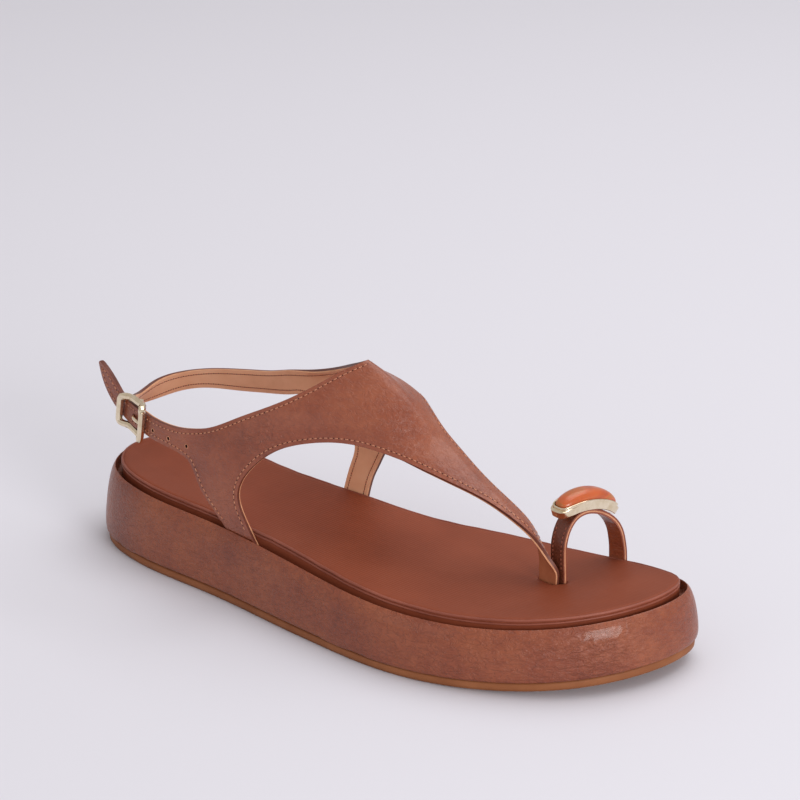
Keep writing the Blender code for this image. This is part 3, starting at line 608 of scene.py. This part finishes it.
def footbedEdge(look, bead):
    # the loop of points that a bead follows round the footbed: its wall, found from outside, level by level
    reach = 90 * mm
    points = []
    for i in range(look["steps"]):
        middle, out = spinePoint(i / look["steps"], look)
        level = look["highest"]
        while footbedTree.ray_cast(middle + Vector((0, 0, level)) + out * reach, -out, reach)[0] is None:
            level -= 0.2 * mm
        outside = middle + Vector((0, 0, level - 1.2 * mm)) + out * reach
        wall = footbedTree.ray_cast(outside, -out, reach)[0]
        points.append(Vector((wall.x, wall.y, level - bead["drop"])) - out * bead["inward"])
    smooth = []
    for i, point in enumerate(points):
        smooth.append((points[i - 1] + point * 2 + points[(i + 1) % len(points)]) / 4)
    return smooth


def skinCord(name, loops, radii, material):
    # round cords as curves with a bevel, turned into one mesh
    curve = bpy.data.curves.new(name, "CURVE")
    curve.dimensions = "3D"
    curve.bevel_depth = 1.0
    curve.bevel_resolution = 2
    for loop, radius in zip(loops, radii):
        spline = curve.splines.new("POLY")
        spline.points.add(len(loop) - 1)
        for target, point in zip(spline.points, loop):
            target.co = (*point, 1)
            target.radius = radius
        spline.use_cyclic_u = True
    cord = bpy.data.objects.new(name + "Curve", curve)
    bpy.context.scene.collection.objects.link(cord)
    graph = bpy.context.evaluated_depsgraph_get()
    mesh = bpy.data.meshes.new_from_object(cord.evaluated_get(graph), depsgraph=graph)
    bpy.data.objects.remove(cord)
    bm = bmesh.new()
    bm.from_mesh(mesh)
    bmesh.ops.remove_doubles(bm, verts=bm.verts, dist=0.005 * mm)
    bmesh.ops.recalc_face_normals(bm, faces=bm.faces)
    bpy.data.meshes.remove(mesh)
    return makePiece(bm, name, [material])


beadLoops = [footbedEdge(footbedLook, bead) for bead in footbedLook["beads"]]
skinCord("footbedBeads", beadLoops, [bead["radius"] for bead in footbedLook["beads"]], beadSkin)
print("footbed dressed")


# Upper: outer skin, lining, painted edge and the lining's cut edge

outerSide, liningSide, paintSide, cutSide, tailSide = 0, 1, 2, 3, 4
upperLook = {
    "hemReach": 6.5 * mm, "hemSpread": 10.4 * mm, "hemCrease": 11.7 * mm, "broadShare": 0.3,
    "edgeSoft": 0.32 * mm, "cutEdgeWidth": 0.55 * mm,
    "holes": ((11.3, -29.7, 57.3), (19.9, -30.5, 56.5), (29.3, -30.8, 55.8)), "holeSize": 1.5 * mm,
    "rimSize": 0.16 * mm, "tailStart": 138 * mm,
}
upperFolds = {
    "flank": {"centre": (62, -27, 66), "hub": (95, -40, 20), "radius": 16, "spacing": 4.0, "depth": 0.12},
    "crest": {"centre": (88, -16, 76), "hub": (100, -30, 10), "radius": 20, "spacing": 4.4, "depth": 0.10},
    "tail": {"centre": (165, 8, 36), "hub": (130, 8, 90), "radius": 12, "spacing": 3.6, "depth": 0.08},
}


def groupArea(group):
    return sum(face.calc_area() for face in group)


def spreadGroups(bm, hem, reach):
    # groups of faces that run smoothly into each other; by the hem only nearly flat joins count
    flatJoin, roundJoin = 14, 50

    def steep(edge):
        middle = (edge.verts[0].co + edge.verts[1].co) / 2
        return math.radians(flatJoin if (middle - hem).length < reach else roundJoin)

    seen, groups = set(), []
    for first in bm.faces:
        if first in seen:
            continue
        seen.add(first)
        group, queue = [], [first]
        while queue:
            face = queue.pop()
            group.append(face)
            for edge in face.edges:
                if len(edge.link_faces) != 2 or edge.calc_face_angle(0) > steep(edge):
                    continue
                for other in edge.link_faces:
                    if other not in seen:
                        seen.add(other)
                        queue.append(other)
        groups.append(group)
    return groups


low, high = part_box("buckle_frame")
hemPlace = (Vector(low) + Vector(high)) / 2
bm = mergedCopy("upper")
groups = sorted(spreadGroups(bm, hemPlace, upperLook["hemSpread"]), key=groupArea, reverse=True)
for group in groups:
    peak = max(group, key=lambda f: f.calc_center_median().z)
    middle = sum((f.calc_center_median() for f in group), Vector()) / len(group)
    if groupArea(group) > upperLook["broadShare"] * groupArea(groups[0]):
        side = outerSide if peak.normal.z > 0 else liningSide
    elif (middle - hemPlace).length < upperLook["hemSpread"]:
        side = outerSide
    else:
        side = paintSide
    for face in group:
        face.material_index = side
border = []
for edge in bm.edges:
    sides = {face.material_index for face in edge.link_faces}
    middle = (edge.verts[0].co + edge.verts[1].co) / 2
    if paintSide in sides and len(sides) == 2 and (middle - hemPlace).length > upperLook["hemReach"]:
        border.append(edge)
hemEdges = [
    e for e in sharpEdges(bm, 30)
    if ((e.verts[0].co + e.verts[1].co) / 2 - hemPlace).length < upperLook["hemCrease"]
]
creaseEdges(bm, [e for e in hemEdges if e not in set(border)], 1.0)
softenEdges(bm, border, upperLook["edgeSoft"], 2)
upper = makePiece(bm, "upperSkin", [upperSkin, liningSkin, edgePaint, cutEdge, tailLining])
subdivide(upper, 2)
foldSkin(upper, upperFolds, {outerSide})
print("upper spread:", len(upper.data.polygons), "faces")

bm = bmesh.new()
bm.from_mesh(upper.data)
liningTree = surfaceTree(bm, lambda f: f.material_index == liningSide)
for face in bm.faces:
    if face.material_index == paintSide:
        near = liningTree.find_nearest(face.calc_center_median())[3]
        if near is not None and near < upperLook["cutEdgeWidth"]:
            face.material_index = cutSide
for face in bm.faces:
    # the tail is lined with the upper's own skin where it runs down between the toes
    if face.material_index == liningSide and face.calc_center_median().x > upperLook["tailStart"]:
        face.material_index = tailSide
bm.to_mesh(upper.data)
bm.free()


# Stitches: rows that run a little inside every edge of the skin and of the lining

stitchLook = {
    "inset": 1.7 * mm, "pitch": 2.05 * mm, "length": 1.55 * mm, "width": 0.42 * mm, "height": 0.34 * mm,
    "mark": 0.26 * mm, "floor": 31 * mm, "ceiling": 1.0,
    # how far a thread stands off the skin, and the longest gap it may bridge, in pitches
    "proud": 0.06 * mm, "longest": 1.5,
}


def edgeRows(bm, inner, outer, inset):
    # runs of places that follow the border of one side of the skin at the inset;
    # a place that lies nearer to a border than this share of the inset is left out
    nearest = 0.72
    tree = surfaceTree(bm, lambda f: f.material_index == inner)
    links = {}
    for edge in bm.edges:
        sides = [face.material_index for face in edge.link_faces]
        if len(sides) == 2 and inner in sides and sides[0] != sides[1] and set(sides) & set(outer):
            face = edge.link_faces[sides.index(inner)]
            start, end = edge.verts
            along = (end.co - start.co).normalized()
            into = face.calc_center_median() - (start.co + end.co) / 2
            into = (into - along * into.dot(along)).normalized()
            links.setdefault(start, []).append((end, into))
            links.setdefault(end, []).append((start, into))
    near = KDTree(len(links))
    for i, vert in enumerate(links):
        near.insert(vert.co, i)
    near.balance()
    rows, seen = [], set()
    for first in links:
        if first in seen:
            continue
        run, vert = [], first
        while vert is not None:
            seen.add(vert)
            run.append(vert)
            vert = next((other for other, _ in links[vert] if other not in seen), None)
        row = []
        for vert in run:
            into = sum((direction for _, direction in links[vert]), Vector()).normalized()
            # lay the direction flat on the skin, which turns down over the soft edge
            for _ in range(3):
                spot, normal, _, _ = tree.find_nearest(vert.co + into * inset)
                into = (into - normal * into.dot(normal)).normalized()
            spot, normal, _, _ = tree.find_nearest(vert.co + into * inset)
            if spot is None or near.find(spot)[2] < nearest * inset:
                spot = None
            row.append((spot, normal))
        rows.append(row)
    return rows, tree


def spacedPlaces(row, tree, pitch):
    # even places along a run, each with the skin's normal; a run starts afresh after a jump
    jump = 4 * mm
    places, walked, last = [], 0.0, None
    for spot, _ in row:
        if spot is None:
            last = None
            continue
        if last is None or (spot - last).length > jump:
            last, walked = spot, 0.0
            continue
        step = (spot - last).length
        while walked + step >= pitch:
            last = last.lerp(spot, (pitch - walked) / step)
            place, normal, _, _ = tree.find_nearest(last)
            places.append((place, normal))
            step, walked = (spot - last).length, 0.0
        walked += step
        last = spot
    return places


def sewRows(name, holeShadeName, bm, inner, outer, thread, look):
    rows, tree = edgeRows(bm, inner, outer, look["inset"])
    threads, marks = bmesh.new(), bmesh.new()
    count = 0
    for row in rows:
        places = spacedPlaces(row, tree, look["pitch"])
        for (start, normalA), (end, normalB) in zip(places, places[1:]):
            gap = (end - start).length
            if gap > look["longest"] * look["pitch"] or not look["floor"] < start.z < look["ceiling"]:
                continue
            middle, normal = (start + end) / 2, (normalA + normalB).normalized()
            along = (end - start).normalized()
            across = normal.cross(along).normalized()
            turn = Matrix((along, across, normal)).transposed().to_4x4()
            size = Matrix.Diagonal((look["length"] / 2, look["width"] / 2, look["height"] / 2, 1))
            bmesh.ops.create_uvsphere(
                threads, u_segments=6, v_segments=5, radius=1,
                matrix=Matrix.Translation(middle + normal * look["proud"]) @ turn @ size,
            )
            # a flat dark disc where the thread goes in: painted shade of the needle hole
            flat = Matrix.Diagonal((look["mark"], look["mark"] * 1.1, look["proud"], 1))
            bmesh.ops.create_uvsphere(
                marks, u_segments=6, v_segments=4, radius=1,
                matrix=Matrix.Translation(start) @ turn @ flat,
            )
            count += 1
    print(name + ":", count, "stitches")
    makePiece(threads, name, [thread])
    makePiece(marks, holeShadeName, [needleHoleShade])


bm = bmesh.new()
bm.from_mesh(upper.data)
bm.normal_update()
sewRows("skinStitches", "skinNeedleHoleShade", bm, outerSide, (paintSide, cutSide), outerThread, stitchLook)
sewRows("liningStitches", "liningNeedleHoleShade", bm, liningSide, (paintSide, cutSide), liningThread, stitchLook)
skinTree = surfaceTree(bm, lambda f: f.material_index == outerSide)
bm.free()


# Punched holes for the buckle's pin

punch = bmesh.new()
holeRimHighlights = []
for hole in upperLook["holes"]:
    spot, normal, _, _ = skinTree.find_nearest(Vector(hole) * mm)
    turn = normal.to_track_quat("Z", "Y").to_matrix().to_4x4()
    bmesh.ops.create_cone(
        punch, cap_ends=True, segments=24, radius1=upperLook["holeSize"] / 2,
        radius2=upperLook["holeSize"] / 2, depth=8 * mm, matrix=Matrix.Translation(spot) @ turn,
    )
    # a thin light tan cord round each hole: painted highlight on the hole's rim
    radius = upperLook["holeSize"] / 2 + 0.08 * mm
    holeRimHighlights.append([
        spot + turn.to_3x3() @ Vector((math.cos(i * math.pi / 10), math.sin(i * math.pi / 10), 0)) * radius
        for i in range(20)
    ])
skinCord("holeRimHighlights", holeRimHighlights, [upperLook["rimSize"]] * len(holeRimHighlights), outerThread)
punchMesh = bpy.data.meshes.new("punch")
punch.to_mesh(punchMesh)
punch.free()
punchTool = bpy.data.objects.new("punch", punchMesh)
# the punched holes' walls take this dark brown: painted shade in the holes
punchMesh.materials.append(needleHoleShade)
bpy.context.scene.collection.objects.link(punchTool)
cut = upper.modifiers.new("punch", "BOOLEAN")
cut.operation = "DIFFERENCE"
cut.solver = "EXACT"
cut.material_mode = "TRANSFER"
cut.object = punchTool
freeze(upper)
bpy.data.objects.remove(punchTool)
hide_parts("upper")
print("upper dressed:", len(upper.data.polygons), "faces")


# Toe ring: two layers of skin laid back to back

ringLook = {
    "seam": 0.62 * mm, "seamDepth": 0.15 * mm,
    "stitch": {
        **stitchLook, "inset": 1.2 * mm, "pitch": 1.7 * mm, "length": 1.2 * mm, "width": 0.3 * mm,
        "height": 0.28 * mm, "mark": 0.2 * mm, "floor": 30 * mm,
    },
}
low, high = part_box("toe_ring")
heart = (Vector(low) + Vector(high)) / 2
ringLook["stitch"]["ceiling"] = high[2] - 5 * mm
bm = mergedCopy("toe_ring")
groups = sorted(spreadGroups(bm, heart, 0.0), key=groupArea, reverse=True)
# the outer faces take the darker calfskin copy as painted shade; the inner faces take the upper's calfskin
for group in groups[:2]:
    facing = sum((f.calc_center_median() - heart).dot(f.normal) * f.calc_area() for f in group)
    for face in group:
        face.material_index = outerSide if facing > 0 else liningSide
# the narrow edges: two layers of skin with the join between them
narrow = [face for group in groups[2:4] for face in group]
rims = bmesh.ops.inset_region(
    bm, faces=narrow, thickness=ringLook["seam"], depth=-ringLook["seamDepth"], use_even_offset=True
)["faces"]
for face in rims:
    face.material_index = paintSide
for face in narrow:
    face.material_index = cutSide
creaseEdges(bm, sharpEdges(bm, 55), 0.7)
ring = makePiece(bm, "toeRing", [ringShadedSkin, upperSkin, beadSkin, cutEdge])
subdivide(ring, 2)
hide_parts("toe_ring")
bm = bmesh.new()
bm.from_mesh(ring.data)
bm.normal_update()
sewRows(
    "ringStitches", "ringNeedleHoleShade", bm, outerSide, (paintSide, cutSide), liningThread,
    ringLook["stitch"],
)
bm.free()
print("toe ring dressed")


# Metal and stone

def dressHard(node, name, material, soft, levels, limit=35):
    bm = mergedCopy(node)
    softenEdges(bm, sharpEdges(bm, limit), soft, 2)
    piece = makePiece(bm, name, [material])
    subdivide(piece, levels)
    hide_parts(node)
    return piece


dressHard("bezel", "bezelTray", goldPlate, 0.10 * mm, 2)
dressHard("cabochon", "cabochonStone", amberResin, 0.08 * mm, 2)
dressHard("buckle_frame", "buckleFrame", goldPlate, 0.10 * mm, 1, 30)
dressHard("buckle_prong", "bucklePin", goldPlate, 0.08 * mm, 1, 45)
print("metal dressed")


# Floor, light and camera

studio = {
    "floor": "#dddce4", "world": "#ebe7e6", "worldStrength": 0.66,
    # name: place, aims at, size, power
    "lights": (
        ("topBox", (0.25, 0.6, 1.4), (0.08, 0.0, 0.03), 1.4, 12.5),
        ("leftBox", (-0.35, -1.45, 0.55), (0.07, 0.0, 0.05), 0.8, 1.2),
        ("toeBox", (1.5, -0.5, 0.42), (0.12, 0.0, 0.03), 0.55, 12.0),
    ),
}
bm = bmesh.new()
bmesh.ops.create_grid(bm, x_segments=8, y_segments=8, size=12)
floorMesh = bpy.data.meshes.new("floor")
bm.to_mesh(floorMesh)
bm.free()
floor = bpy.data.objects.new("floor", floorMesh)
bpy.context.scene.collection.objects.link(floor)
floorPaper, floorShader = newMaterial("paperSweep")
floorShader.inputs["Base Color"].default_value = linear(studio["floor"])
floorShader.inputs["Roughness"].default_value = 0.75
floorShader.inputs["Specular IOR Level"].default_value = 0.25
floorMesh.materials.append(floorPaper)

world = bpy.data.worlds.new("studio")
world.use_nodes = True
world.node_tree.nodes["Background"].inputs["Color"].default_value = linear(studio["world"])
world.node_tree.nodes["Background"].inputs["Strength"].default_value = studio["worldStrength"]
bpy.context.scene.world = world
bpy.context.scene.view_settings.view_transform = "Standard"

for name, place, target, size, power in studio["lights"]:
    light = bpy.data.lights.new(name, "AREA")
    light.shape = "SQUARE"
    light.size = size
    light.energy = power
    box = bpy.data.objects.new(name, light)
    box.location = place
    box.rotation_euler = (Vector(target) - Vector(place)).to_track_quat("-Z", "Y").to_euler()
    bpy.context.scene.collection.objects.link(box)

cameraLook = {
    "place": (0.7217, -0.7871, 0.4737), "lens": 132.65,
    "right": (0.78801, 0.61566, 0.0), "up": (-0.2240, 0.2867, 0.93147), "back": (0.57347, -0.73401, 0.36383),
}
cameraData = bpy.data.cameras.new("camera")
cameraData.lens = cameraLook["lens"]
cameraData.clip_end = 60
camera = bpy.data.objects.new("camera", cameraData)
turn = Matrix((cameraLook["right"], cameraLook["up"], cameraLook["back"])).transposed().to_4x4()
camera.matrix_world = Matrix.Translation(cameraLook["place"]) @ turn
bpy.context.scene.collection.objects.link(camera)
bpy.context.scene.camera = camera
